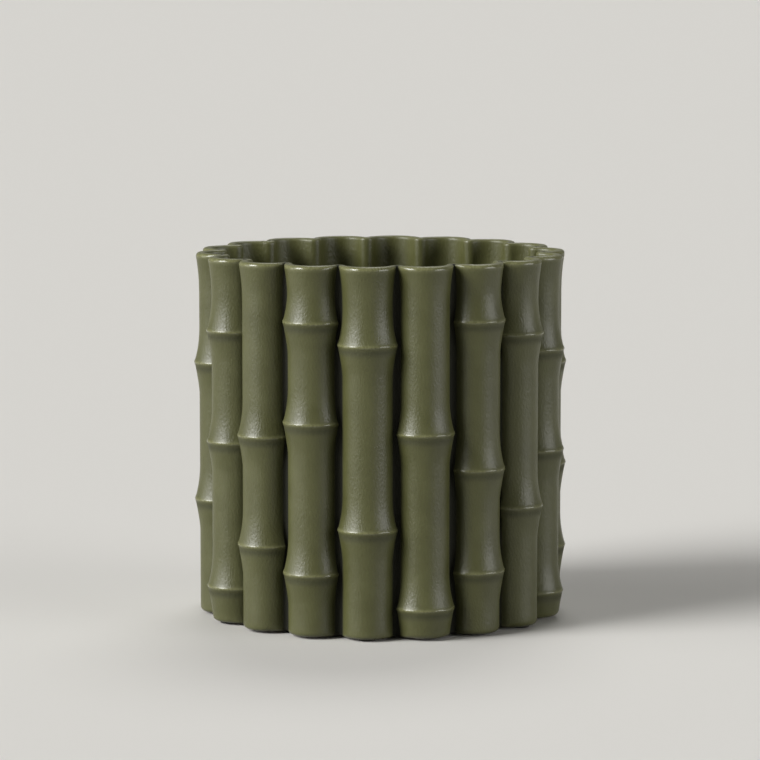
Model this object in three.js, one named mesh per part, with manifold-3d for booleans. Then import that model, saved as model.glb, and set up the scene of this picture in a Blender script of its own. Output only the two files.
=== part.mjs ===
// A round plant pot whose wall is a ring of bamboo culms standing side by side.
// Each culm is a stave: a half pipe that is open towards the middle of the pot, with half a rib and
// half a groove along each long edge and a closed foot. The staves are bonded edge to edge, a lobed
// floor rests on their feet, a stopper closes its drain, and pads under some of the feet carry the pot.
// Millimetres, +Z up. The origin is on the ground under the middle, and the front faces -Y.

import * as THREE from "three";
import { mergeVertices } from "three/addons/utils/BufferGeometryUtils.js";
import Module from "manifold-3d";

const wasm = await Module();
wasm.setup();

// The ring of culms
const POT_HEIGHT = 156; // ground to lip
const CULM_COUNT = 18;
const CULM_GAP = 2.8; // between neighbours, on the circle through their centres
const SEAM_JOINT = 0.3; // bond between two staves
const FIRST_CULM_TURN = -4.6; // degrees to the right of the front

// One culm
const CULM_RADIUS = 10.5; // between its nodes
const CULM_WALL = 3; // at its crest, between its nodes
const MOUTH_FLARE = 1.6; // how far the mouth stands out
const MOUTH_FLARE_HEIGHT = 17;
const LIP_ROUND = 1.9; // outer edge of the lip
const LIP_INNER_ROUND = 1.2;
const FOOT_ROUND = 2.2; // outer edge of the foot
const FOOT_THICKNESS = 5; // of the closed foot that carries the floor

// The seam between two culms: a groove outside and a rib inside
const GROOVE_ROUND = 1.9;
const SEAM_WALL = 2.2; // between the groove's floor and the rib's tip
const RIB_ROUND = 3.2;

// One node ring: a skirt that widens downwards, a blunt edge, and a waist under it
const NODE_RISE = 2;
const NODE_EDGE = 0.9;
const NODE_SKIRT = 14;
const NODE_WAIST = 13;
const HOLLOW_CURVE = 2; // power of the hollow skirt, and of the mouth's flare
const WAIST_CURVE = 1.3; // power of the waist, which is nearly straight
const LOWEST_NODE = 8; // clear height under the lowest ring

// Each culm's node rings, as depths under the lip, to the right from the front
const NODE_DEPTHS = [
  [33, 110],
  [70, 143],
  [24, 86, 129],
  [31, 104],
  [40, 83, 144],
  [48, 92, 128],
  [28, 112],
  [62, 134],
  [36, 80, 121],
  [52, 115],
  [25, 68, 139],
  [44, 98],
  [33, 84, 122],
  [70, 135],
  [47, 106],
  [31, 78, 140],
  [73, 119],
  [24, 66, 129],
];

// The floor and its drain
const FLOOR_THICKNESS = 5;
const FLOOR_JOINT = 0.3; // bond between the floor's edge and the staves
const DRAIN_RADIUS = 7; // at the underside of the floor
const DRAIN_TAPER = 1; // wider than that at the top
const RECESS_DEPTH = 1.5; // of the seat round the drain's mouth
const RECESS_CLEARANCE = 1; // round the stopper's flange

// The stopper
const STOPPER_CLEARANCE = 0.3;
const STOPPER_OVERHANG = 3.8; // of its flange past the drain's mouth
const STOPPER_FLANGE = 2.2;
const STOPPER_EDGE = 0.6;
const STOPPER_TAIL = 1.5; // below the floor
const KNOB_NECK_RADIUS = 3;
const KNOB_OVERHANG = 2;
const KNOB_HEIGHT = 9; // above the flange
const KNOB_HEAD = 4;
const KNOB_ROUND = 1.6;

// The pads under the feet
const PAD_COUNT = 6;
const PAD_RADIUS = 3.6;
const PAD_THICKNESS = 1;
const PAD_EDGE = 0.2;

// Facets
const CULM_SIDES = 16;
const FLUTE_SIDES = 16;
const RIB_SIDES = 12;
const GROOVE_SIDES = 12;
const STOPPER_SIDES = 24;
const PAD_SIDES = 12;
const LIP_STEPS = 2;
const LOBE_STEPS = 3;
const SKIRT_STEPS = [1, 0.45, 0.15, 0];
const WAIST_STEPS = [1, 0.4, 0];
const LEAST_ROW = 0.4; // rows of facets are no closer than this
const MARGIN = 5; // by which a cutting shape runs past what it cuts
const MERGE_DISTANCE = 1e-4;

// Worked out from the sizes above
const HALF_PITCH_ANGLE = Math.PI / CULM_COUNT;
const PITCH_ANGLE = 2 * HALF_PITCH_ANGLE;
const HALF_PITCH = CULM_RADIUS + CULM_GAP / 2;
const RING_RADIUS = HALF_PITCH / Math.tan(HALF_PITCH_ANGLE);
const SEAM_OFFSET = RING_RADIUS * Math.sin(HALF_PITCH_ANGLE); // from a culm's centre
const GROOVE_CENTRE = onSeam(seamReach(CULM_RADIUS + GROOVE_ROUND));
const RIB_CENTRE = onSeam(GROOVE_CENTRE.length() - GROOVE_ROUND - SEAM_WALL + RIB_ROUND);
const FLUTE_X = fluteCentre();
const FLUTE_RADIUS = RING_RADIUS + CULM_RADIUS - CULM_WALL - FLUTE_X;
const FLUTE_SPAN = Math.atan2(RIB_CENTRE.y, RIB_CENTRE.x - FLUTE_X); // either way to the rib
const FLUTE_END = FLUTE_X + FLUTE_RADIUS * Math.cos(FLUTE_SPAN);
const FOOT_Z = PAD_THICKNESS;
const SEAT_Z = FOOT_Z + FOOT_THICKNESS;
const FLOOR_TOP = SEAT_Z + FLOOR_THICKNESS;
const RECESS_Z = FLOOR_TOP - RECESS_DEPTH;
const STOPPER_RADIUS = drainRadiusAt(RECESS_Z) + STOPPER_OVERHANG;
const RECESS_RADIUS = STOPPER_RADIUS + RECESS_CLEARANCE;
const KNOB_RADIUS = KNOB_NECK_RADIUS + KNOB_OVERHANG;
const PAD_OFFSET = (CULM_RADIUS - FOOT_ROUND) / 2; // outwards from a culm's centre

// Finishes
const GLAZE = { color: 0x6f7154, roughness: 0.42, metalness: 0 };
const RUBBER = { color: 0x2b2b28, roughness: 0.75, metalness: 0 };
const FELT = { color: 0x26241f, roughness: 0.95, metalness: 0 };

// How far out on a seam a circle's centre lies that is this far from a culm's centre
function seamReach(distance) {
  return RING_RADIUS * Math.cos(HALF_PITCH_ANGLE) + Math.sqrt(distance ** 2 - SEAM_OFFSET ** 2);
}

// A point on the seam to the left of a culm, at a distance from the pot's axis
function onSeam(distance) {
  return new THREE.Vector2(
    distance * Math.cos(HALF_PITCH_ANGLE),
    distance * Math.sin(HALF_PITCH_ANGLE),
  );
}

// The centre of the flute's circle, which runs along the inside of the crest and into both ribs
function fluteCentre() {
  const crest = RING_RADIUS + CULM_RADIUS - CULM_WALL;
  const reach = crest + RIB_ROUND;
  return (reach ** 2 - RIB_CENTRE.lengthSq()) / (2 * (reach - RIB_CENTRE.x));
}

// A closed geometry as a solid that can be joined and cut
function solidOf(geometry) {
  geometry.deleteAttribute("normal");
  geometry.deleteAttribute("uv");
  const merged = mergeVertices(geometry, MERGE_DISTANCE);
  const mesh = new wasm.Mesh({
    numProp: 3,
    vertProperties: merged.attributes.position.array,
    triVerts: new Uint32Array(merged.index.array),
  });
  return new wasm.Manifold(mesh);
}

// A solid as a geometry for a mesh
function geometryOf(solid) {
  const mesh = solid.getMesh();
  const geometry = new THREE.BufferGeometry();
  geometry.setAttribute("position", new THREE.BufferAttribute(mesh.vertProperties, 3));
  geometry.setIndex(new THREE.BufferAttribute(mesh.triVerts, 1));
  geometry.computeVertexNormals();
  return geometry;
}

function namedMesh(name, geometry, finish) {
  const mesh = new THREE.Mesh(geometry, new THREE.MeshStandardMaterial(finish));
  mesh.name = name;
  return mesh;
}

// A solid of revolution round Z from [radius, height] pairs that run up from the axis and back to it
function turned(profile, sides, x = 0, y = 0) {
  const points = profile.map(([radius, z]) => new THREE.Vector2(radius, z));
  const geometry = new THREE.LatheGeometry(points, sides);
  geometry.rotateX(Math.PI / 2);
  geometry.translate(x, y, 0);
  return geometry;
}

// An upright prism from an outline
function prism(shape, low, high, curveSegments = 1) {
  const geometry = new THREE.ExtrudeGeometry(shape, {
    depth: high - low,
    bevelEnabled: false,
    curveSegments,
  });
  geometry.translate(0, 0, low);
  return geometry;
}

// A quarter round from a wall up to a flat top. The edge turns away from the axis where outwards is 1,
// and towards it where outwards is -1.
function lipArc(radius, top, round, outwards) {
  const points = [];
  for (let step = 0; step <= LIP_STEPS; step += 1) {
    const angle = (step / LIP_STEPS) * (Math.PI / 2);
    points.push([
      radius + outwards * round * (1 - Math.cos(angle)),
      top - round * (1 - Math.sin(angle)),
    ]);
  }
  return points;
}

// A quarter round from a flat bottom up to a wall
function footArc(radius, bottom, round) {
  const upper = lipArc(radius, 0, round, -1);
  return upper.reverse().map(([x, z]) => [x, bottom - z]);
}

// How much of a swelling is left at a share of the way out of it
function swell(share, curve) {
  return share < 1 ? (1 - share) ** curve : 0;
}

function nodeHeights(culm) {
  const depths = NODE_DEPTHS[culm % NODE_DEPTHS.length];
  const heights = depths.map((depth) => POT_HEIGHT - depth);
  return heights.filter((height) => height > FOOT_Z + LOWEST_NODE);
}

function culmRadiusAt(z, nodes) {
  const underLip = (POT_HEIGHT - z) / MOUTH_FLARE_HEIGHT;
  let radius = CULM_RADIUS + MOUTH_FLARE * swell(underLip, HOLLOW_CURVE);
  for (const node of nodes) {
    const above = z - node;
    const past = Math.max(0, Math.abs(above) - NODE_EDGE / 2);
    radius += NODE_RISE * (above > 0
      ? swell(past / NODE_SKIRT, HOLLOW_CURVE)
      : swell(past / NODE_WAIST, WAIST_CURVE));
  }
  return radius;
}

// Heights at which the culm's outline turns, from its foot to its mouth
function culmRows(nodes) {
  const low = FOOT_Z + FOOT_ROUND;
  const high = POT_HEIGHT - LIP_ROUND;
  const rows = [low, high];
  rows.push(...WAIST_STEPS.map((step) => POT_HEIGHT - step * MOUTH_FLARE_HEIGHT));
  for (const node of nodes) {
    rows.push(...SKIRT_STEPS.map((step) => node + NODE_EDGE / 2 + step * NODE_SKIRT));
    rows.push(...WAIST_STEPS.map((step) => node - NODE_EDGE / 2 - step * NODE_WAIST));
  }
  const inside = rows.filter((z) => z >= low && z <= high).sort((a, b) => a - b);
  return inside.filter((z, i) => i === 0 || z - inside[i - 1] > LEAST_ROW);
}

// Half the width of a stave, less half the bond, at a distance from the pot's axis
function seamHalfWidth(x) {
  return x * Math.tan(HALF_PITCH_ANGLE) - SEAM_JOINT / 2 / Math.cos(HALF_PITCH_ANGLE);
}

// The space between a stave's two seams, from one distance to another
function betweenSeams(near, far) {
  const shape = new THREE.Shape([
    new THREE.Vector2(near, -seamHalfWidth(near)),
    new THREE.Vector2(far, -seamHalfWidth(far)),
    new THREE.Vector2(far, seamHalfWidth(far)),
    new THREE.Vector2(near, seamHalfWidth(near)),
  ]);
  return solidOf(prism(shape, FOOT_Z - MARGIN, POT_HEIGHT + MARGIN));
}

// The culm as a whole rod, with its foot, node rings and mouth
function culmRod(nodes) {
  const rows = culmRows(nodes).map((z) => [culmRadiusAt(z, nodes), z]);
  const [footRadius] = rows[0];
  const [mouthRadius] = rows[rows.length - 1];
  const profile = [
    [0, FOOT_Z],
    ...footArc(footRadius, FOOT_Z, FOOT_ROUND).slice(0, -1),
    ...rows,
    ...lipArc(mouthRadius, POT_HEIGHT, LIP_ROUND, -1).slice(1),
    [0, POT_HEIGHT],
  ];
  return solidOf(turned(profile, CULM_SIDES, RING_RADIUS));
}

// The hollow of the culm, from its closed foot out through its rounded mouth
function culmFlute() {
  const mouth = lipArc(FLUTE_RADIUS, POT_HEIGHT, LIP_INNER_ROUND, 1);
  const [mouthRadius] = mouth[mouth.length - 1];
  const profile = [
    [0, SEAT_Z],
    [FLUTE_RADIUS, SEAT_Z],
    ...mouth,
    [mouthRadius, POT_HEIGHT + MARGIN],
    [0, POT_HEIGHT + MARGIN],
  ];
  return solidOf(turned(profile, FLUTE_SIDES, FLUTE_X));
}

// The rib on a seam, where two staves meet, less the groove outside it
function seamRib(side) {
  const rib = [
    [0, FOOT_Z],
    [RIB_ROUND, FOOT_Z],
    ...lipArc(RIB_ROUND, POT_HEIGHT, LIP_INNER_ROUND, -1),
    [0, POT_HEIGHT],
  ];
  const groove = [
    [0, FOOT_Z - MARGIN],
    [GROOVE_ROUND, FOOT_Z - MARGIN],
    [GROOVE_ROUND, POT_HEIGHT + MARGIN],
    [0, POT_HEIGHT + MARGIN],
  ];
  const solid = solidOf(turned(rib, RIB_SIDES, RIB_CENTRE.x, side * RIB_CENTRE.y));
  return solid.subtract(
    solidOf(turned(groove, GROOVE_SIDES, GROOVE_CENTRE.x, side * GROOVE_CENTRE.y)),
  );
}

function culmStave(culm) {
  const nodes = nodeHeights(culm);
  const widest = RING_RADIUS + CULM_RADIUS + NODE_RISE * nodes.length + MOUTH_FLARE;
  const pipe = culmRod(nodes).intersect(betweenSeams(FLUTE_END, widest + MARGIN));
  const ribs = seamRib(-1)
    .add(seamRib(1))
    .intersect(betweenSeams(RIB_CENTRE.x - RIB_ROUND - MARGIN, GROOVE_CENTRE.x));
  return geometryOf(pipe.add(ribs).subtract(culmFlute()));
}

// The floor's outline: a lobe in every culm, and a hollow round every rib
function floorOutline() {
  const shape = new THREE.Shape();
  const ribCircle = RIB_CENTRE.length();
  for (let culm = 0; culm < CULM_COUNT; culm += 1) {
    const lobe = culm * PITCH_ANGLE;
    const rib = lobe + HALF_PITCH_ANGLE;
    shape.absarc(
      FLUTE_X * Math.cos(lobe),
      FLUTE_X * Math.sin(lobe),
      FLUTE_RADIUS - FLOOR_JOINT,
      lobe - FLUTE_SPAN,
      lobe + FLUTE_SPAN,
      false,
    );
    shape.absarc(
      ribCircle * Math.cos(rib),
      ribCircle * Math.sin(rib),
      RIB_ROUND + FLOOR_JOINT,
      lobe + FLUTE_SPAN + Math.PI,
      lobe + PITCH_ANGLE - FLUTE_SPAN + Math.PI,
      true,
    );
  }
  return shape;
}

// The drain widens upwards through the floor
function drainRadiusAt(z) {
  return DRAIN_RADIUS + (DRAIN_TAPER * (z - SEAT_Z)) / FLOOR_THICKNESS;
}

function potFloor() {
  const drain = turned(
    [
      [0, SEAT_Z - MARGIN],
      [drainRadiusAt(SEAT_Z - MARGIN), SEAT_Z - MARGIN],
      [drainRadiusAt(RECESS_Z), RECESS_Z],
      [RECESS_RADIUS, RECESS_Z],
      [RECESS_RADIUS, FLOOR_TOP + MARGIN],
      [0, FLOOR_TOP + MARGIN],
    ],
    STOPPER_SIDES,
  );
  const slab = prism(floorOutline(), SEAT_Z, FLOOR_TOP, LOBE_STEPS);
  return geometryOf(solidOf(slab).subtract(solidOf(drain)));
}

// A tapered stopper with a flange that rests in the floor's recess and a knob to lift it by
function drainStopper() {
  const flangeZ = RECESS_Z + STOPPER_CLEARANCE;
  const flangeTop = flangeZ + STOPPER_FLANGE;
  const knobTop = flangeTop + KNOB_HEIGHT;
  const tailZ = SEAT_Z - STOPPER_TAIL;
  const headZ = knobTop - KNOB_HEAD;
  const bodyRadiusAt = (z) => drainRadiusAt(z) - STOPPER_CLEARANCE;
  const profile = [
    [0, tailZ],
    [bodyRadiusAt(tailZ) - STOPPER_EDGE, tailZ],
    [bodyRadiusAt(tailZ + STOPPER_EDGE), tailZ + STOPPER_EDGE],
    [bodyRadiusAt(flangeZ), flangeZ],
    [STOPPER_RADIUS, flangeZ],
    ...lipArc(STOPPER_RADIUS, flangeTop, STOPPER_EDGE, -1),
    [KNOB_NECK_RADIUS + STOPPER_EDGE, flangeTop],
    [KNOB_NECK_RADIUS, flangeTop + STOPPER_EDGE],
    [KNOB_NECK_RADIUS, headZ],
    [KNOB_RADIUS, headZ + STOPPER_EDGE],
    ...lipArc(KNOB_RADIUS, knobTop, KNOB_ROUND, -1),
    [0, knobTop],
  ];
  return turned(profile, STOPPER_SIDES);
}

function footPad() {
  const profile = [
    [0, 0],
    [PAD_RADIUS - PAD_EDGE, 0],
    [PAD_RADIUS, PAD_EDGE],
    [PAD_RADIUS, PAD_THICKNESS],
    [0, PAD_THICKNESS],
  ];
  return turned(profile, PAD_SIDES, RING_RADIUS + PAD_OFFSET);
}

function twoDigits(number) {
  return String(number).padStart(2, "0");
}

const pot = new THREE.Group();
const ring = new THREE.Group();
ring.rotation.z = THREE.MathUtils.degToRad(FIRST_CULM_TURN) - Math.PI / 2;
pot.add(ring);

for (let culm = 0; culm < CULM_COUNT; culm += 1) {
  const stave = namedMesh(`culm_${twoDigits(culm + 1)}`, culmStave(culm), GLAZE);
  stave.rotation.z = culm * PITCH_ANGLE;
  ring.add(stave);
}

ring.add(namedMesh("floor", potFloor(), GLAZE));
ring.add(namedMesh("drain_stopper", drainStopper(), RUBBER));

for (let pad = 0; pad < PAD_COUNT; pad += 1) {
  const culm = Math.floor((pad * CULM_COUNT) / PAD_COUNT);
  const foot = namedMesh(`foot_pad_${pad + 1}`, footPad(), FELT);
  foot.rotation.z = culm * PITCH_ANGLE;
  ring.add(foot);
}

export default pot;
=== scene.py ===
"""A round planter with a wall of bamboo culms in satin olive glaze, on a plain pale stage.

The staves, the lobed floor, the drain stopper and the foot pads are modelled here finely, each
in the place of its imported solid. Metres, +Z up, with the photographed side facing -Y.
"""

import math

import bmesh
import bpy
from bpy.props import FloatProperty, FloatVectorProperty, IntProperty, PointerProperty
from mathutils import Matrix, Vector


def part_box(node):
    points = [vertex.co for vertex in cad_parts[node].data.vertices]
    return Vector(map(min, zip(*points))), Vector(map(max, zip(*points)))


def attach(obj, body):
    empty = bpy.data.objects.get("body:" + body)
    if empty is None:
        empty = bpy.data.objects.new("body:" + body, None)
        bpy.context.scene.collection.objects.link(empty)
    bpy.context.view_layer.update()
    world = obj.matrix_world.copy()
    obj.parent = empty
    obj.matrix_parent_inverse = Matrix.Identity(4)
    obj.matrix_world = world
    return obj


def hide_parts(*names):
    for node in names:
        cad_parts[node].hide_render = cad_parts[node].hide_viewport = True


bl_info = {
    "name": "Bamboo planter",
    "version": (1, 0, 0),
    "blender": (4, 5, 0),
    "location": "3D View > Sidebar > Planter",
    "description": "Models a glazed planter with a wall of bamboo culms, and its stage",
    "category": "Object",
}

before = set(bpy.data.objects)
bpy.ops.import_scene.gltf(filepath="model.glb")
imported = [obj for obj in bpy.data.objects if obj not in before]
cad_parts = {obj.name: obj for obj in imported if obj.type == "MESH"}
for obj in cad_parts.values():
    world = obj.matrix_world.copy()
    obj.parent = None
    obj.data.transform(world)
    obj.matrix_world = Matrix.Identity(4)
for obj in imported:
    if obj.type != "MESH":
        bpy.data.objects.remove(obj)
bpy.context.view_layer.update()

MM = 0.001
GLAZE = "satin olive glaze on stoneware"

# Each culm's node rings, as depths under the lip in millimetres, to the right from the front
NODE_DEPTHS = (
    (33, 110),
    (70, 143),
    (24, 86, 129),
    (31, 104),
    (40, 83, 144),
    (48, 92, 128),
    (28, 112),
    (62, 134),
    (36, 80, 121),
    (52, 115),
    (25, 68, 139),
    (44, 98),
    (33, 84, 122),
    (70, 135),
    (47, 106),
    (31, 78, 140),
    (73, 119),
    (24, 66, 129),
)

# Rows of faces round a node ring and under the lip, in millimetres from its crest or the lip
SKIRT_ROWS = (0, 0.2, 0.4, 0.6, 0.85, 1.15, 1.6, 2.2, 3, 4, 5.3, 7, 9, 11.3, 14)
WAIST_ROWS = (0.2, 0.4, 0.6, 0.85, 1.15, 1.6, 2.3, 3.3, 4.6, 6.2, 8, 10, 13)
MOUTH_ROWS = (3, 4.2, 5.6, 7.4, 9.6, 12.5, 17)
LEAST_ROW = 0.12 * MM  # least distance between two rows

# Facets along each round of a stave's section, along a quarter round, and round a turned piece
SKIN_STEPS = 48
FLUTE_STEPS = 28
GROOVE_STEPS = 8
RIB_STEPS = 12
ROUND_STEPS = 6
TURN_STEPS = 96

TOUCH = 0.01 * MM  # points closer than this lie on the same surface
MERGE = 0.005 * MM  # points closer than this become one
SOFT = math.radians(35)  # edges that turn by less than this are shaded round
SEAM_SLIVER = math.radians(0.5)  # a narrow first facet, so the two halves of a rib shade as one

# Shape of a culm's wall
HOLLOW_CURVE = 2  # power of the hollow skirt, and of the mouth's flare
WAIST_CURVE = 1.3  # power of the waist, which is nearly straight
RING_OVERLAP = 0.3 * MM  # a node ring reaches this far over the seam, into the open groove
RING_FADE = math.radians(50)  # turn of the groove over which a node ring dies away
FLANK = math.radians(45)  # from here to the groove the rims' rounds grow smaller

# Where the glaze is painted paler over an edge, from 0 for none to 1 for most: glaze breaking thin,
# and a painted highlight on the node rings' crests and the lip's outer round
CREST_LINE = 0.7 * MM  # half width of the pale line on a node ring's crest: thin glaze with a painted highlight
SHOULDER_LINE = 0.8 * MM  # half width of the pale line on the lip's outer round: thin glaze with a painted highlight
SHOULDER_DEPTH = 1 * MM  # of that line under the lip
INNER_THIN = 0.25  # on the lip's inner edge
INNER_REACH = 2.2 * MM  # down from the lip, where that ends
FOOT_THIN = 0.5  # on the foot's outer edge
FOOT_REACH = 3 * MM  # up from the foot, where that ends

# Where the glaze is painted darker, from 0 for none to 1 for most: thick glaze pooling in the grooves
# with painted shade there, and painted shade under each node ring
POOL_SHADE_START = math.radians(62)  # turn round the culm from which the glaze is painted darker: thicker glaze, and painted shade
POOL_SHADE_END = math.radians(105)  # turn from which it is darkest, in the groove
UNDER_SHADE = 0.5  # painted shade under a node ring
UNDER_LINE = 1.6 * MM  # half width of that line
UNDER_DEPTH = 2.4 * MM  # of that line under the crest

RUBBER_BLOOM = 2.2  # how many times as bright the rubber is under its bloom
FELT_TIPS = 2.6  # how many times as bright the felt is at the tips of its fibres

# Lamps: degrees to the right of the camera, degrees up, degrees across, and the brightness of
# white paint that faces the lamp
LAMPS = (
    ("key_light", -64, 30, 30, 0.85),
    ("side_light", -72, 8, 66, 0.62),
    ("fill_light", 66, 6, 44, 0.54),
    ("rear_light", 170, 55, 30, 0.28),
)
STAGE_RADIUS = 14.0  # of the floor, which fills the camera's view up to its top
STAGE_SIDES = 96
FILM_WIDTH = 36.0  # millimetres


def linear(code):
    """The linear colour of an sRGB hex code."""
    channels = [int(code[i : i + 2], 16) / 255 for i in (0, 2, 4)]
    return tuple(
        c / 12.92 if c <= 0.04045 else ((c + 0.055) / 1.055) ** 2.4 for c in channels
    )


def length(name, description, millimetres):
    """A property for a length, with its default in millimetres."""
    return FloatProperty(
        name=name,
        description=description,
        default=millimetres * MM,
        min=0.0,
        unit="LENGTH",
        precision=5,
    )


def colour(name, description, code):
    """A property for a colour, with its default as an sRGB hex code."""
    return FloatVectorProperty(
        name=name,
        description=description,
        default=linear(code),
        min=0.0,
        max=1.0,
        subtype="COLOR",
    )


class PlanterSizes(bpy.types.PropertyGroup):
    """Sizes of the planter's pieces"""

    pot_height: length("Pot height", "Ground to lip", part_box("culm_01")[1].z / MM)
    foot_z: length("Foot height", "Ground to the feet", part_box("culm_01")[0].z / MM)
    seat_z: length("Seat height", "Ground to the floor's underside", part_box("floor")[0].z / MM)
    floor_top: length("Floor height", "Ground to the floor's top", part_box("floor")[1].z / MM)
    culm_count: IntProperty(
        name="Culms", description="Culms round the wall", default=len(NODE_DEPTHS), min=3
    )
    first_turn: FloatProperty(
        name="First culm's turn",
        description="Turn of the first culm to the right of the front",
        default=math.radians(-4.6),
        subtype="ANGLE",
    )
    culm_radius: length("Culm radius", "Between the node rings", 10.5)
    culm_gap: length("Culm gap", "Between neighbours, on the circle of their centres", 2.8)
    culm_wall: length("Culm wall", "Thickness at the crest, between the node rings", 3)
    groove_round: length("Groove round", "Radius of the groove between two culms", 1.9)
    seam_wall: length("Seam wall", "Between a groove's floor and the tip of its rib", 2.2)
    rib_round: length("Rib round", "Radius of the rib between two flutes", 3.2)
    mouth_flare: length("Mouth flare", "How far a culm's mouth stands out", 1.6)
    mouth_reach: length("Mouth reach", "Height of the mouth's flare", 17)
    lip_round: length("Lip round", "Radius of the lip's outer edge", 1.9)
    lip_inner: length("Inner lip round", "Radius of the lip's inner edge", 1.2)
    lip_groove: length("Groove lip round", "Radius of the lip in a groove", 0.8)
    foot_round: length("Foot round", "Radius of the foot's outer edge", 2.2)
    node_rise: length("Node rise", "How far a node ring stands out", 2)
    node_bead: length("Node bead", "Height of the narrow bead on a node ring's crest", 0.25)
    bead_width: length("Bead width", "Half width of that bead", 0.9)
    crest_round: length("Crest round", "Softness of a node ring's crest", 0.35)
    skirt: length("Skirt", "Height of the hollow skirt above a crest", 14)
    waist: length("Waist", "Height of the taper under a crest", 13)
    floor_joint: length("Floor joint", "Between the floor's edge and the flutes", 0.05)
    cove: length("Cove", "Radius of the glaze in the corner between floor and wall", 1.6)
    drain_radius: length("Drain radius", "At the floor's underside", 7)
    drain_taper: length("Drain taper", "How much wider the drain is at its seat", 1)
    recess_radius: length("Recess radius", "Seat round the drain", 12.5)
    recess_z: length("Recess height", "Ground to the seat round the drain", 9.5)
    stopper_gap: length("Stopper gap", "Between the stopper's flange and its seat", 0.3)
    neck_radius: length("Neck radius", "Between the stopper's flange and its knob", 3)
    knob_radius: length("Knob radius", "Widest part of the stopper's knob", 5)


class PlanterFinish(bpy.types.PropertyGroup):
    """Colours of the planter's pieces"""

    glaze: colour("Glaze", "Olive glaze", "5C5D38")
    glaze_deep: colour("Deep glaze", "Olive glaze where it is a little thicker", "50512C")
    # pale edge colour: glaze breaking thin, and a painted highlight on the crests and the lip's outer
    # round
    glaze_thin_highlight: colour("Thin glaze", "Olive glaze where it breaks over an edge", "98986D")
    # dark colour for the grooves and under the node rings: pooled glaze, and painted shade
    glaze_pool_and_shade: colour("Pooled glaze", "Olive glaze where it lies thick in a groove", "171808")
    bare_clay: colour("Bare clay", "Unglazed undersides of the feet", "A0896A")
    rubber: colour("Rubber", "Stopper", "2B2B28")
    felt: colour("Felt", "Foot pads", "2A2722")


class PlanterStage(bpy.types.PropertyGroup):
    """Camera, floor and light"""

    floor: colour("Floor", "Plain pale floor", "E0DED9")
    bounce: colour("Bounce", "Light that the floor scatters up", "404040")
    air_light: FloatProperty(
        name="Air light", description="Strength at which the air lights the pot", default=0.05
    )
    air_shown: FloatProperty(
        name="Air brightness", description="Strength at which the air is seen", default=0.3
    )
    camera_back: FloatProperty(
        name="Camera distance",
        description="In front of the pot's axis",
        default=1.6951,
        unit="LENGTH",
    )
    camera_height: FloatProperty(
        name="Camera height", description="Above the ground", default=0.3062, unit="LENGTH"
    )
    camera_side: FloatProperty(
        name="Camera side", description="To the right of the axis", default=-0.0004, unit="LENGTH"
    )
    camera_pitch: FloatProperty(
        name="Camera pitch",
        description="Downward tilt",
        default=math.radians(6.93),
        subtype="ANGLE",
    )
    camera_lens: FloatProperty(
        name="Lens", description="Focal length", default=188.1, unit="CAMERA"
    )


# Drawing and shaping in edit mode


class Pen:
    """Draws an outline in edit mode, from a single point on."""

    def __init__(self, name, x, y, z):
        bpy.ops.object.select_all(action="DESELECT")
        bpy.ops.mesh.primitive_plane_add(size=MM, location=(0, 0, 0), enter_editmode=True)
        bpy.ops.mesh.select_mode(type="VERT")
        bpy.ops.mesh.merge(type="CENTER")
        bpy.ops.transform.translate(value=(x, y, z))
        self.piece = bpy.context.object
        self.piece.name = name
        self.at = Vector((x, y, z))

    def line(self, x, y, z):
        target = Vector((x, y, z))
        bpy.ops.mesh.extrude_region_move(TRANSFORM_OT_translate={"value": target - self.at})
        self.at = target

    def arc(self, x, y, angle, steps):
        """An arc round an upright axis, counterclockwise where the angle is positive."""
        bpy.ops.mesh.spin(steps=steps, angle=-angle, center=(x, y, self.at.z), axis=(0, 0, 1))
        centre = Vector((x, y, self.at.z))
        arm = self.at - centre
        turn = Vector((math.cos(angle), math.sin(angle)))
        self.at = centre + Vector(
            (arm.x * turn.x - arm.y * turn.y, arm.x * turn.y + arm.y * turn.x, 0)
        )

    def close(self):
        bpy.ops.mesh.select_all(action="SELECT")
        bpy.ops.mesh.remove_doubles(threshold=MERGE)


def pick(piece, kind, test):
    """Selects the vertices, edges or faces that pass a test, and nothing else."""
    bpy.ops.mesh.select_mode(type=kind)
    bpy.ops.mesh.select_all(action="DESELECT")
    mesh = bmesh.from_edit_mesh(piece.data)
    for item in {"VERT": mesh.verts, "EDGE": mesh.edges, "FACE": mesh.faces}[kind]:
        item.select_set(test(item))
    mesh.select_flush_mode()
    bmesh.update_edit_mesh(piece.data, loop_triangles=False, destructive=False)


def turn_faces_out():
    """Selects the whole mesh and turns its faces outwards."""
    bpy.ops.mesh.select_all(action="SELECT")
    bpy.ops.mesh.normals_make_consistent(inside=False)


def choose(piece):
    """Makes a piece the active one and the only one that is selected."""
    bpy.ops.object.select_all(action="DESELECT")
    piece.select_set(True)
    bpy.context.view_layer.objects.active = piece


def settle(piece, turn=0.0):
    """Leaves edit mode with the faces outwards, the place in the mesh and soft edges shaded round."""
    turn_faces_out()
    bpy.ops.object.mode_set(mode="OBJECT")
    piece.rotation_euler.z = turn
    bpy.ops.object.transform_apply(location=True, rotation=True, scale=True)
    bpy.ops.object.shade_smooth_by_angle(angle=SOFT)


def dress(piece, material, body, node):
    """Gives a piece its material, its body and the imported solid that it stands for."""
    piece.data.materials.clear()
    piece.data.materials.append(material)
    piece.data.name = piece.name
    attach(piece, body)
    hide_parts(node)


def quarter(out, z, radius, start, turn=90):
    """A quarter round in a profile, from a start angle in degrees round its centre, and clockwise
    where it turns by -90."""
    angles = [math.radians(start + turn * step / ROUND_STEPS) for step in range(ROUND_STEPS + 1)]
    return [(out + radius * math.cos(angle), z + radius * math.sin(angle)) for angle in angles]


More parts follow.
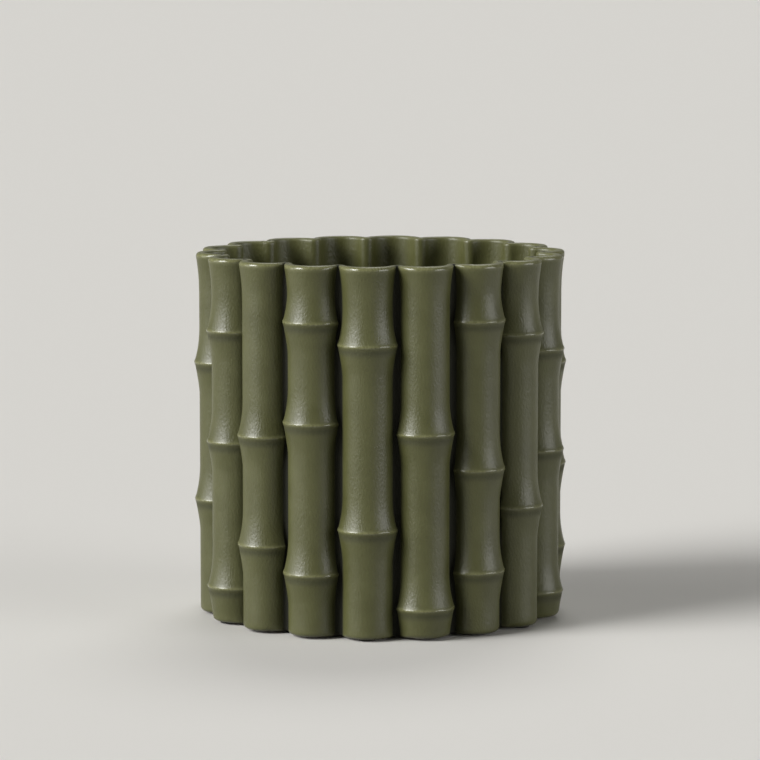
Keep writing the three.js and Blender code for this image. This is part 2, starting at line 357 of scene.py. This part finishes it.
def turned(name, profile, x=0.0, y=0.0):
    """Spins a profile of distances from an upright axis and heights, in millimetres, into a solid."""
    points = [(x + out * MM, y, z * MM) for out, z in profile]
    pen = Pen(name, *points[0])
    for point in points[1:]:
        pen.line(*point)
    bpy.ops.mesh.select_all(action="SELECT")
    bpy.ops.mesh.spin(steps=TURN_STEPS, angle=2 * math.pi, center=(x, y, 0), axis=(0, 0, 1))
    pen.close()
    settle(pen.piece)
    return pen.piece


# Shape of a culm


class StavePlan:
    """A stave seen from above: the centres and radii of its skin, grooves, ribs and flute, and the
    turns at which they run into each other."""

    def __init__(self, sizes):
        self.half = math.pi / sizes.culm_count
        self.ring = (sizes.culm_radius + sizes.culm_gap / 2) / math.tan(self.half)
        self.seam = self.ring * math.sin(self.half)
        self.skin, self.groove, self.rib = sizes.culm_radius, sizes.groove_round, sizes.rib_round
        outwards = math.sqrt((self.skin + self.groove) ** 2 - self.seam**2)
        self.groove_out = self.ring * math.cos(self.half) + outwards
        self.rib_out = self.groove_out - self.groove - sizes.seam_wall + self.rib
        self.reach = math.pi / 2 + self.half - math.atan2(outwards, self.seam)
        rib = Vector(self.on_seam(self.rib_out, 1))
        crest = self.ring + self.skin - sizes.culm_wall
        past = crest + self.rib
        self.flute_x = (past**2 - rib.length_squared) / (2 * (past - rib.x))
        self.flute = crest - self.flute_x
        self.span = math.atan2(rib.y, rib.x - self.flute_x)
        self.flute_end = self.flute_x + self.flute * math.cos(self.span)

    def on_seam(self, distance, hand):
        """A point on a seam, at a distance from the pot's axis."""
        return distance * math.cos(self.half), hand * distance * math.sin(self.half)

    def side_of(self, point):
        """The surface that a point of the section lies on, the way out of it, and the point's turn
        round the culm, which goes on in the groove."""
        arm = Vector((point.x - self.ring, point.y))
        hand = math.copysign(1, point.y)
        turn = abs(math.atan2(arm.y, arm.x))
        if abs(arm.length - self.skin) < TOUCH and turn < self.reach + SEAM_SLIVER:
            return "skin", arm.normalized(), turn
        flute = Vector((self.flute_x - point.x, -point.y))
        if abs(flute.length - self.flute) < TOUCH and point.x > self.flute_end - TOUCH:
            return "flute", flute.normalized(), turn
        rib = point.xy - Vector(self.on_seam(self.rib_out, hand))
        if abs(rib.length - self.rib) < TOUCH:
            return "rib", rib.normalized(), turn
        groove = Vector(self.on_seam(self.groove_out, hand)) - point.xy
        facing = abs(math.atan2(groove.y, groove.x))
        return "groove", groove.normalized(), 2 * self.reach - facing

    def ring_room(self, turn):
        """How far a node ring may stand out before it reaches too far over the seam."""
        towards = math.cos(math.pi / 2 + self.half - turn)
        return (self.seam + RING_OVERLAP) / towards - self.skin if towards > 0 else math.inf


def swell(share, curve):
    """How much of a swelling is left at a share of the way out of it."""
    return (1 - share) ** curve if share < 1 else 0.0


def bell(distance, width):
    """A bell curve that is 1 at no distance and fades over a width."""
    return math.exp(-((distance / width) ** 2))


def ease(value, low, high):
    """A smooth step from 0 at the low value to 1 at the high one."""
    share = min(1, max(0, (value - low) / (high - low)))
    return share * share * (3 - 2 * share)


def edge_round(distance, radius):
    """How far a rounded edge stands back at a distance from its rim."""
    if distance >= radius:
        return 0.0
    return radius - math.sqrt(max(0, radius**2 - (radius - distance) ** 2))


def culm_turn(sizes, culm):
    """The turn of a culm round the pot's axis, from +X."""
    return sizes.first_turn - math.pi / 2 + 2 * culm * math.pi / sizes.culm_count


def node_heights(sizes, culm):
    """The heights of a culm's node rings."""
    return [sizes.pot_height - depth * MM for depth in NODE_DEPTHS[culm % len(NODE_DEPTHS)]]


def ring_rise(sizes, z, nodes):
    """How far a culm's node rings make its skin stand out."""
    rise = 0.0
    for node in nodes:
        above = z - node
        past = math.hypot(above, sizes.crest_round) - sizes.crest_round
        if above > 0:
            rise += sizes.node_rise * swell(past / sizes.skirt, HOLLOW_CURVE)
        else:
            rise += sizes.node_rise * swell(past / sizes.waist, WAIST_CURVE)
        rise += sizes.node_bead * bell(above, sizes.bead_width)
    return rise


def culm_rows(sizes, nodes):
    """Heights at which a culm's wall is drawn, close together where it curves."""
    backs = [1 - math.sin(math.pi / 2 * step / ROUND_STEPS) for step in range(ROUND_STEPS + 1)]
    rows = [sizes.foot_z + sizes.foot_round * back for back in backs]
    rows += [sizes.pot_height - sizes.lip_round * back for back in backs]
    rows.append(sizes.seat_z)
    low, high = sizes.foot_z + sizes.foot_round, sizes.pot_height - sizes.lip_round
    wanted = [sizes.pot_height - row * MM for row in MOUTH_ROWS]
    for node in nodes:
        wanted += [node + row * MM for row in SKIRT_ROWS]
        wanted += [node - row * MM for row in WAIST_ROWS]
    for z in wanted:
        if low < z < high and all(abs(z - row) > LEAST_ROW for row in rows):
            rows.append(z)
    return sorted(rows)


def draw_stave_section(sizes, plan):
    """Draws the outline of a stave at its foot: the wall, and the half disc inside its flute."""
    z, half, ring = sizes.foot_z, plan.half, plan.ring
    groove_turn = plan.reach - half - SEAM_SLIVER
    rib_turn = plan.span - half - SEAM_SLIVER
    skin_x = ring + plan.skin * math.cos(plan.reach)
    rib_tip = plan.rib_out - plan.rib
    groove_foot = plan.groove_out - plan.groove

    pen = Pen("stave_section", skin_x, -plan.skin * math.sin(plan.reach), z)
    pen.arc(ring, 0, 2 * plan.reach, SKIN_STEPS)
    pen.arc(*plan.on_seam(plan.groove_out, 1), -groove_turn, GROOVE_STEPS)
    pen.arc(*plan.on_seam(plan.groove_out, 1), -SEAM_SLIVER, 1)
    pen.line(*plan.on_seam(rib_tip, 1), z)
    pen.arc(*plan.on_seam(plan.rib_out, 1), SEAM_SLIVER, 1)
    pen.arc(*plan.on_seam(plan.rib_out, 1), rib_turn, RIB_STEPS)
    pen.arc(plan.flute_x, 0, -2 * plan.span, FLUTE_STEPS)
    pen.arc(*plan.on_seam(plan.rib_out, -1), rib_turn, RIB_STEPS)
    pen.arc(*plan.on_seam(plan.rib_out, -1), SEAM_SLIVER, 1)
    pen.line(*plan.on_seam(groove_foot, -1), z)
    pen.arc(*plan.on_seam(plan.groove_out, -1), -SEAM_SLIVER, 1)
    pen.arc(*plan.on_seam(plan.groove_out, -1), -groove_turn, GROOVE_STEPS)
    pen.close()
    bpy.ops.mesh.edge_face_add()

    def in_flute(vertex):
        return plan.side_of(vertex.co)[0] == "flute"

    pick(pen.piece, "VERT", lambda v: in_flute(v) and v.co.x < plan.flute_end + TOUCH)
    bpy.ops.mesh.edge_face_add()
    pick(pen.piece, "VERT", in_flute)
    bpy.ops.mesh.edge_face_add()
    bpy.ops.object.mode_set(mode="OBJECT")
    return pen.piece


def raise_stave(piece, sizes, rows):
    """Extrudes the section upwards row by row, with the flute closed up to the floor's seat."""
    bpy.ops.mesh.select_mode(type="FACE")
    bpy.ops.mesh.select_all(action="SELECT")
    for low, high in zip(rows, rows[1:]):
        if low == sizes.seat_z:
            mesh = bmesh.from_edit_mesh(piece.data)
            disc, wall = sorted((f for f in mesh.faces if f.select), key=lambda f: len(f.verts))
            disc.select_set(False)
            wall.select_set(True)
        bpy.ops.mesh.extrude_region_move(TRANSFORM_OT_translate={"value": (0, 0, high - low)})


def stave_offset(sizes, plan, nodes, side, turn, z):
    """How far the culm's form stands out of the straight wall at a point of it."""
    under_lip, over_foot = sizes.pot_height - z, z - sizes.foot_z
    if side in ("flute", "rib"):
        return -edge_round(under_lip, sizes.lip_inner)
    near = ease(turn, FLANK, plan.reach)
    lip = sizes.lip_round + near * (sizes.lip_groove - sizes.lip_round)
    foot = sizes.foot_round + near * (sizes.lip_groove - sizes.foot_round)
    rings = min(ring_rise(sizes, z, nodes), plan.ring_room(min(turn, plan.reach)))
    rings *= 1 - ease(turn, plan.reach, plan.reach + RING_FADE)
    mouth = sizes.mouth_flare * swell(under_lip / sizes.mouth_reach, HOLLOW_CURVE)
    return rings + mouth - edge_round(under_lip, lip) - edge_round(over_foot, foot)


def glaze_at(sizes, nodes, side, turn, z):
    """How much paler the glaze is painted at a point of a stave's wall, for thin glaze and painted
    highlight, and how much darker, for pooled glaze and painted shade.
    """
    under_lip, over_foot = sizes.pot_height - z, z - sizes.foot_z
    if side in ("flute", "rib"):
        return INNER_THIN * swell(under_lip / INNER_REACH, 1), 0.0
    # paler on the node rings' crests and the lip's outer round: thin glaze with a painted highlight
    crest = max(bell(z - node, CREST_LINE) for node in nodes)
    shoulder = bell(under_lip - SHOULDER_DEPTH, SHOULDER_LINE)
    foot = FOOT_THIN * swell(over_foot / FOOT_REACH, 1)
    # painted shade under each node ring, and darker towards the groove: pooled glaze with painted
    # shade
    under = UNDER_SHADE * max(bell(z - node + UNDER_DEPTH, UNDER_LINE) for node in nodes)
    return max(crest, shoulder, foot), max(ease(turn, POOL_SHADE_START, POOL_SHADE_END), under)


def shape_stave(piece, sizes, plan, nodes):
    """Swells the straight wall to the culm's rings and mouth, rounds its rims, and writes on every
    vertex how much paler the glaze is painted there, for thin glaze and painted highlight, and how
    much darker, for pooled glaze and painted shade."""
    mesh = bmesh.from_edit_mesh(piece.data)
    thin = mesh.verts.layers.float.new("thin_glaze_highlight")
    pool = mesh.verts.layers.float.new("glaze_pool_and_shade")
    for vertex in mesh.verts:
        z = vertex.co.z
        side, out, turn = plan.side_of(vertex.co)
        vertex[thin], vertex[pool] = glaze_at(sizes, nodes, side, turn, z)
        vertex.co.xy += stave_offset(sizes, plan, nodes, side, turn, z) * out
    bmesh.update_edit_mesh(piece.data)


# Shape of the floor, the stopper and the pads


def draw_floor(sizes, plan):
    """Draws the floor's lobed outline, raises it as a slab and hollows a cove round its top."""
    lobe = plan.flute - sizes.floor_joint
    first = culm_turn(sizes, 0)
    start = Vector((plan.flute_x + lobe * math.cos(plan.span), -lobe * math.sin(plan.span)))
    start.rotate(Matrix.Rotation(first, 2))
    pen = Pen("pot_floor", *start, sizes.seat_z)
    for culm in range(sizes.culm_count):
        turn = culm_turn(sizes, culm)
        x, y = math.cos(turn), math.sin(turn)
        pen.arc(plan.flute_x * x, plan.flute_x * y, 2 * plan.span, FLUTE_STEPS)
        x, y = math.cos(turn + plan.half), math.sin(turn + plan.half)
        pen.arc(plan.rib_out * x, plan.rib_out * y, 2 * (plan.half - plan.span), 2 * RIB_STEPS)
    pen.close()
    bpy.ops.mesh.edge_face_add()
    rise = sizes.floor_top + sizes.cove - sizes.seat_z
    bpy.ops.mesh.extrude_region_move(TRANSFORM_OT_translate={"value": (0, 0, rise)})
    turn_faces_out()
    pick(pen.piece, "FACE", lambda face: face.calc_center_median().z > sizes.floor_top)
    for step in range(ROUND_STEPS):
        low, high = (math.pi / 2 * (step + end) / ROUND_STEPS for end in (0, 1))
        bpy.ops.mesh.inset(
            thickness=sizes.cove * (math.cos(low) - math.cos(high)),
            depth=-sizes.cove * (math.sin(high) - math.sin(low)),
        )
    settle(pen.piece)
    return pen.piece


def drain_profile(sizes):
    """Half the section of what the drain takes out of the floor, in millimetres: a bore that widens
    upwards, and a recess round its mouth."""
    bore, wide = sizes.drain_radius / MM, (sizes.drain_radius + sizes.drain_taper) / MM
    low, seat, top = sizes.seat_z / MM, sizes.recess_z / MM, sizes.floor_top / MM
    rim = sizes.recess_radius / MM
    past = 5  # the cut runs past the floor on both sides
    bevel = 0.8  # of the bore's lower edge, and round of the recess's upper one
    corner, lead = 0.5, 0.4  # cut off in the recess's corner, and at the bore's mouth
    return [
        (0, low - past),
        (bore + past, low - past),
        (bore + bevel, low - TOUCH / MM),
        (bore, low + bevel),
        (wide - lead, seat - corner),
        (wide, seat),
        (rim - corner, seat),
        (rim, seat + corner),
        *quarter(rim + bevel, top - bevel, bevel, 180, -90),
        (rim + bevel, top + past),
        (0, top + past),
    ]


def stopper_profile(sizes):
    """Half the stopper's section, in millimetres, from its tip up: a tapered plug with two sealing
    rings, a flange, and a waisted neck under a dimpled knob."""
    low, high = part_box("drain_stopper")
    tip, top, flange = low.z / MM, high.z / MM, high.x / MM
    bore, neck, knob = (
        size / MM for size in (sizes.drain_radius, sizes.neck_radius, sizes.knob_radius)
    )
    seat = (sizes.recess_z + sizes.stopper_gap) / MM
    seal = [(0, 0), (0.16, 0.25), (0.22, 0.5), (0.16, 0.75), (0, 1)]
    step = 0.3  # by which the plug widens to each sealing ring
    low_seal, high_seal = tip + 1.8, tip + 3.4
    root, lead = bore + 0.75, 0.4  # radius of the plug under the flange, and bevel below it
    dome = 0.2  # height of the flange's domed top, and depth of the knob's dimple
    shelf, dimple, hollow = 0.9, 1.6, 0.5  # width of the dome, and dimple's radius and slope
    tip_round, flange_under, flange_over, fillet = 1, 0.5, 0.8, 1.7
    knob_hollow, knob_under, knob_over, knob_side = 0.9, 1.1, 1.6, 1.1
    flange_top, waist = seat + 2, seat + 5.6
    pinch = 0.1  # by which the neck is thinner at its waist
    neck_foot = flange_top + dome
    knob_foot = top - knob_over - knob_side - knob_under
    return [
        (0, tip),
        *quarter(bore - 2 * step - tip_round, tip + tip_round, tip_round, -90),
        *[(bore - step + out, low_seal + rise) for out, rise in seal],
        *[(bore + out, high_seal + rise) for out, rise in seal],
        (root - lead, seat - lead),
        (root, seat),
        *quarter(flange - flange_under, seat + flange_under, flange_under, -90),
        *quarter(flange - flange_over, flange_top - flange_over, flange_over, 0),
        (neck + fillet + shelf, flange_top + 0.75 * dome),
        *quarter(neck + fillet, neck_foot + fillet, fillet, -90, -90),
        (neck - pinch, waist),
        *quarter(neck + knob_hollow, knob_foot - knob_hollow, knob_hollow, 180, -90),
        *quarter(knob - knob_under, knob_foot + knob_under, knob_under, -90),
        *quarter(knob - knob_over, top - knob_over, knob_over, 0),
        (dimple, top),
        (dimple - hollow, top - 0.75 * dome),
        (0, top - dome),
    ]


def pad_profile(radius, top):
    """Half a pad's section, in millimetres: squeezed round at the ground, and cut crisply above."""
    squeezed, cut = 0.5, 0.2
    return [
        (0, 0),
        (radius - squeezed, 0),
        (radius - 0.3 * squeezed, 0.24 * squeezed),
        (radius, 0.8 * squeezed),
        (radius - 0.25 * cut, top - cut),
        (radius - cut, top),
        (0, top),
    ]


# Materials


def add_node(tree, kind, inputs=None, **settings):
    """Adds a node with its settings, and sets or links its inputs."""
    node = tree.nodes.new(kind)
    for name, value in settings.items():
        setattr(node, name, value)
    for name, value in (inputs or {}).items():
        if isinstance(value, bpy.types.NodeSocket):
            tree.links.new(value, node.inputs[name])
        else:
            node.inputs[name].default_value = value
    return node


def new_material(name):
    """A material with an empty node tree, in the place of any of that name."""
    material = bpy.data.materials.get(name)
    if material:
        bpy.data.materials.remove(material)
    material = bpy.data.materials.new(name)
    material.use_nodes = True
    material.node_tree.nodes.clear()
    return material, material.node_tree


def per(millimetres):
    """The noise scale at which a feature has this size."""
    return 1 / (millimetres * MM)


def satin_glaze(sizes, finish):
    """Satin olive glaze on cast stoneware: soft highlights with a fine orange peel on an even,
    slightly clouded tone. It is paler and glossier where it breaks thin over an edge, with a painted
    highlight on the node rings' crests and the lip's outer round; dark and dull where it pools in the
    grooves, with painted shade there and under each node ring; and wiped off the clay under the feet."""
    material, tree = new_material(GLAZE)
    place = add_node(tree, "ShaderNodeTexCoord").outputs["Object"]
    clouds = add_node(
        tree,
        "ShaderNodeTexNoise",
        {"Vector": place, "Scale": per(13), "Detail": 4.0, "Roughness": 0.6},
    ).outputs["Fac"]
    tone = add_node(
        tree, "ShaderNodeMapRange", {"Value": clouds, "From Min": 0.3, "From Max": 0.7}
    ).outputs["Result"]
    body = add_node(
        tree,
        "ShaderNodeMix",
        {0: tone, 6: (*finish.glaze_deep, 1), 7: (*finish.glaze, 1)},
        data_type="RGBA",
    ).outputs[2]

    # Orange peel, drawn out down the wall as the glaze ran
    drawn = add_node(
        tree, "ShaderNodeVectorMath", {0: place, 1: (1.0, 1.0, 0.6)}, operation="MULTIPLY"
    ).outputs[0]
    grain = add_node(
        tree, "ShaderNodeTexNoise", {"Vector": drawn, "Scale": per(0.8), "Detail": 2.0}
    ).outputs["Fac"]

    # Edges paler, for thin glaze and painted highlight; pools darker, for thick glaze and painted
    # shade; and the wiped feet
    edge = add_node(tree, "ShaderNodeAttribute", attribute_name="thin_glaze_highlight").outputs["Fac"]
    thin_and_highlight = add_node(
        tree, "ShaderNodeMath", {0: edge, 1: grain}, operation="MULTIPLY"
    ).outputs[0]
    # paler on the edges: thin glaze, and a painted highlight on the crests and the lip's outer round
    edged = add_node(
        tree,
        "ShaderNodeMix",
        {0: thin_and_highlight, 6: body, 7: (*finish.glaze_thin_highlight, 1)},
        data_type="RGBA",
    ).outputs[2]
    pool = add_node(tree, "ShaderNodeAttribute", attribute_name="glaze_pool_and_shade").outputs["Fac"]
    # darker in the grooves and under the node rings: pooled glaze, and painted shade
    deep = add_node(
        tree,
        "ShaderNodeMix",
        {0: pool, 6: edged, 7: (*finish.glaze_pool_and_shade, 1)},
        data_type="RGBA",
    ).outputs[2]
    height = add_node(tree, "ShaderNodeSeparateXYZ", {"Vector": place}).outputs["Z"]
    bare = add_node(
        tree,
        "ShaderNodeMapRange",
        {
            "Value": height,
            "From Min": sizes.foot_z + 0.02 * MM,
            "From Max": sizes.foot_z + 0.1 * MM,
            "To Min": 1,
            "To Max": 0,
        },
    ).outputs["Result"]
    shown = add_node(
        tree,
        "ShaderNodeMix",
        {0: bare, 6: deep, 7: (*finish.bare_clay, 1)},
        data_type="RGBA",
    ).outputs[2]

    # Gloss and relief
    sheen = add_node(
        tree,
        "ShaderNodeMapRange",
        {"Value": clouds, "From Min": 0.3, "From Max": 0.7, "To Min": 0.38, "To Max": 0.44},
    ).outputs["Result"]
    polished = add_node(
        tree,
        "ShaderNodeMapRange",
        {"Value": edge, "From Min": 0.3, "To Min": sheen, "To Max": 0.13},
    ).outputs["Result"]
    dulled = add_node(
        tree, "ShaderNodeMix", {0: pool, 2: polished, 3: 0.9}, data_type="FLOAT"
    ).outputs[0]
    relief = add_node(
        tree, "ShaderNodeMapRange", {"Value": edge, "To Min": 0.8, "To Max": 0.1}
    ).outputs["Result"]
    bump = add_node(
        tree, "ShaderNodeBump", {"Height": grain, "Strength": relief, "Distance": 0.19 * MM}
    ).outputs["Normal"]
    surface = add_node(
        tree,
        "ShaderNodeBsdfPrincipled",
        {"Base Color": shown, "Roughness": dulled, "Normal": bump, "IOR": 1.55},
    )
    add_node(tree, "ShaderNodeOutputMaterial", {"Surface": surface.outputs["BSDF"]})
    return material


def moulded_rubber(finish):
    """Moulded rubber: a dull dark skin with a fine matt grain and faint bloom."""
    material, tree = new_material("moulded rubber")
    place = add_node(tree, "ShaderNodeTexCoord").outputs["Object"]
    # A mould's grain is finer than half a millimetre, and is drawn this coarse so that it shows
    grain = add_node(
        tree, "ShaderNodeTexNoise", {"Vector": place, "Scale": per(0.5), "Detail": 3.0}
    ).outputs["Fac"]
    bloom = add_node(
        tree, "ShaderNodeTexNoise", {"Vector": place, "Scale": per(6), "Detail": 3.0}
    ).outputs["Fac"]
    dusty = tuple(min(1, channel * RUBBER_BLOOM) for channel in finish.rubber)
    shown = add_node(
        tree,
        "ShaderNodeMix",
        {0: bloom, 6: (*finish.rubber, 1), 7: (*dusty, 1)},
        data_type="RGBA",
    ).outputs[2]
    sheen = add_node(
        tree, "ShaderNodeMapRange", {"Value": bloom, "To Min": 0.55, "To Max": 0.75}
    ).outputs["Result"]
    bump = add_node(
        tree, "ShaderNodeBump", {"Height": grain, "Strength": 0.3, "Distance": 0.08 * MM}
    ).outputs["Normal"]
    surface = add_node(
        tree,
        "ShaderNodeBsdfPrincipled",
        {"Base Color": shown, "Roughness": sheen, "Normal": bump, "IOR": 1.52},
    )
    add_node(tree, "ShaderNodeOutputMaterial", {"Surface": surface.outputs["BSDF"]})
    return material


def pressed_felt(finish):
    """Pressed felt: matted dark fibres with no gloss and a soft nap."""
    material, tree = new_material("pressed felt")
    place = add_node(tree, "ShaderNodeTexCoord").outputs["Object"]
    # Fibres are a few hundredths of a millimetre thick, and are drawn as tufts so that they show
    fibres = add_node(
        tree,
        "ShaderNodeTexNoise",
        {"Vector": place, "Scale": per(0.35), "Detail": 5.0, "Distortion": 1.5},
    ).outputs["Fac"]
    pale = tuple(min(1, channel * FELT_TIPS) for channel in finish.felt)
    shown = add_node(
        tree,
        "ShaderNodeMix",
        {0: fibres, 6: (*finish.felt, 1), 7: (*pale, 1)},
        data_type="RGBA",
    ).outputs[2]
    bump = add_node(
        tree, "ShaderNodeBump", {"Height": fibres, "Strength": 0.6, "Distance": 0.15 * MM}
    ).outputs["Normal"]
    surface = add_node(
        tree,
        "ShaderNodeBsdfPrincipled",
        {"Base Color": shown, "Roughness": 0.95, "Normal": bump, "Sheen Weight": 0.3},
    )
    add_node(tree, "ShaderNodeOutputMaterial", {"Surface": surface.outputs["BSDF"]})
    return material


def shown_directly(tree):
    """1 for what the camera sees straight, in a gloss or through glass, and 0 for scattered light."""
    path = add_node(tree, "ShaderNodeLightPath").outputs
    seen = add_node(
        tree,
        "ShaderNodeMath",
        {0: path["Is Camera Ray"], 1: path["Is Glossy Ray"]},
        operation="MAXIMUM",
    ).outputs[0]
    return add_node(
        tree,
        "ShaderNodeMath",
        {0: seen, 1: path["Is Transmission Ray"]},
        operation="MAXIMUM",
    ).outputs[0]


def pale_paint(stage):
    """Matt pale paint on the studio floor: it looks pale and keeps shadows, and scatters little."""
    material, tree = new_material("matt pale floor paint")
    dim = add_node(tree, "ShaderNodeBsdfDiffuse", {"Color": (*stage.bounce, 1)})
    pale = add_node(tree, "ShaderNodeBsdfDiffuse", {"Color": (*stage.floor, 1)})
    shown = add_node(
        tree,
        "ShaderNodeMixShader",
        {0: shown_directly(tree), 1: dim.outputs["BSDF"], 2: pale.outputs["BSDF"]},
    )
    add_node(tree, "ShaderNodeOutputMaterial", {"Surface": shown.outputs["Shader"]})
    return material


def studio_air(stage):
    """Pale air behind the floor's edge, which lights the object only a little."""
    world = bpy.data.worlds.new("studio air")
    world.use_nodes = True
    tree = world.node_tree
    tree.nodes.clear()
    strength = add_node(
        tree,
        "ShaderNodeMapRange",
        {"Value": shown_directly(tree), "To Min": stage.air_light, "To Max": stage.air_shown},
    ).outputs["Result"]
    air = add_node(
        tree, "ShaderNodeBackground", {"Color": (*stage.floor, 1), "Strength": strength}
    )
    add_node(tree, "ShaderNodeOutputWorld", {"Surface": air.outputs["Background"]})
    return world


# Operators


class PLANTER_OT_culms(bpy.types.Operator):
    """Models the glazed staves, one for every culm of the wall"""

    bl_idname = "planter.culms"
    bl_label = "Culms"

    def execute(self, context):
        sizes = context.scene.planter_sizes
        plan = StavePlan(sizes)
        glaze = satin_glaze(sizes, context.scene.planter_finish)
        section = draw_stave_section(sizes, plan)
        for culm in range(sizes.culm_count):
            nodes = node_heights(sizes, culm)
            choose(section)
            bpy.ops.object.duplicate()
            stave = context.object
            stave.name = f"culm_stave_{culm + 1:02d}"
            bpy.ops.object.mode_set(mode="EDIT")
            raise_stave(stave, sizes, culm_rows(sizes, nodes))
            shape_stave(stave, sizes, plan, nodes)
            settle(stave, culm_turn(sizes, culm))
            dress(stave, glaze, "pot", f"culm_{culm + 1:02d}")
        bpy.data.objects.remove(section)
        return {"FINISHED"}


class PLANTER_OT_floor(bpy.types.Operator):
    """Models the lobed floor, with a cove of glaze at the wall and a seat round its drain"""

    bl_idname = "planter.floor"
    bl_label = "Floor"

    def execute(self, context):
        sizes = context.scene.planter_sizes
        slab = draw_floor(sizes, StavePlan(sizes))
        cutter = turned("drain_cutter", drain_profile(sizes))
        choose(slab)
        cut = slab.modifiers.new("drain", "BOOLEAN")
        cut.operation = "DIFFERENCE"
        cut.object = cutter
        bpy.ops.object.modifier_apply(modifier=cut.name)
        bpy.data.objects.remove(cutter)
        bpy.ops.object.shade_smooth_by_angle(angle=SOFT)
        dress(slab, bpy.data.materials[GLAZE], "pot", "floor")
        return {"FINISHED"}


class PLANTER_OT_stopper(bpy.types.Operator):
    """Models the drain's rubber stopper, with a flange, two sealing rings and a knob"""

    bl_idname = "planter.stopper"
    bl_label = "Drain stopper"

    def execute(self, context):
        stopper = turned("stopper", stopper_profile(context.scene.planter_sizes))
        rubber = moulded_rubber(context.scene.planter_finish)
        dress(stopper, rubber, "stopper", "drain_stopper")
        return {"FINISHED"}


class PLANTER_OT_pads(bpy.types.Operator):
    """Models the felt pads under the feet"""

    bl_idname = "planter.pads"
    bl_label = "Foot pads"

    def execute(self, context):
        felt = pressed_felt(context.scene.planter_finish)
        for node in [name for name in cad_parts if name.startswith("foot_pad_")]:
            low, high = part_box(node)
            middle = (low + high) / 2
            profile = pad_profile((high.x - low.x) / 2 / MM, high.z / MM)
            pad = turned(node.replace("foot_pad", "felt_pad"), profile, middle.x, middle.y)
            dress(pad, felt, "pot", node)
        return {"FINISHED"}


class PLANTER_OT_stage(bpy.types.Operator):
    """Sets the plain pale floor, the soft studio light and the camera"""

    bl_idname = "planter.stage"
    bl_label = "Stage"

    def execute(self, context):
        scene, stage = context.scene, context.scene.planter_stage
        bpy.ops.object.select_all(action="DESELECT")
        bpy.ops.mesh.primitive_circle_add(
            vertices=STAGE_SIDES, radius=STAGE_RADIUS, fill_type="NGON"
        )
        ground = context.object
        ground.name = "studio_floor"
        ground.data.materials.append(pale_paint(stage))

        for name, azimuth, elevation, spread, level in LAMPS:
            bpy.ops.object.light_add(type="SUN")
            lamp = context.object
            lamp.name = name
            lamp.data.angle = math.radians(spread)
            lamp.data.energy = math.pi * level
            lamp.rotation_euler = (math.radians(90 - elevation), 0, math.radians(azimuth))
        scene.world = studio_air(stage)

        bpy.ops.object.camera_add(
            location=(stage.camera_side, -stage.camera_back, stage.camera_height),
            rotation=(math.pi / 2 - stage.camera_pitch, 0, 0),
        )
        camera = context.object
        camera.name = "photo_camera"
        camera.data.sensor_fit = "HORIZONTAL"
        camera.data.sensor_width = FILM_WIDTH
        camera.data.lens = stage.camera_lens
        scene.camera = camera
        scene.view_settings.view_transform = "Standard"
        return {"FINISHED"}


class PLANTER_PT_panel(bpy.types.Panel):
    """Lists the planter's pieces, sizes and colours"""

    bl_idname = "PLANTER_PT_panel"
    bl_label = "Bamboo planter"
    bl_space_type = "VIEW_3D"
    bl_region_type = "UI"
    bl_category = "Planter"

    def draw(self, context):
        for operator in OPERATORS:
            self.layout.operator(operator.bl_idname)
        for group_name, group in GROUPS.items():
            column = self.layout.column()
            for name in group.__annotations__:
                column.prop(getattr(context.scene, group_name), name)


GROUPS = {
    "planter_sizes": PlanterSizes,
    "planter_finish": PlanterFinish,
    "planter_stage": PlanterStage,
}
OPERATORS = (
    PLANTER_OT_culms,
    PLANTER_OT_floor,
    PLANTER_OT_stopper,
    PLANTER_OT_pads,
    PLANTER_OT_stage,
)


def register():
    for name, group in GROUPS.items():
        bpy.utils.register_class(group)
        setattr(bpy.types.Scene, name, PointerProperty(type=group))
    for part in (*OPERATORS, PLANTER_PT_panel):
        bpy.utils.register_class(part)


def unregister():
    for part in (PLANTER_PT_panel, *reversed(OPERATORS)):
        bpy.utils.unregister_class(part)
    for name, group in reversed(GROUPS.items()):
        delattr(bpy.types.Scene, name)
        bpy.utils.unregister_class(group)


def main():
    register()
    bpy.ops.planter.culms()
    bpy.ops.planter.floor()
    bpy.ops.planter.stopper()
    bpy.ops.planter.pads()
    bpy.ops.planter.stage()


if __name__ == "__main__":
    main()
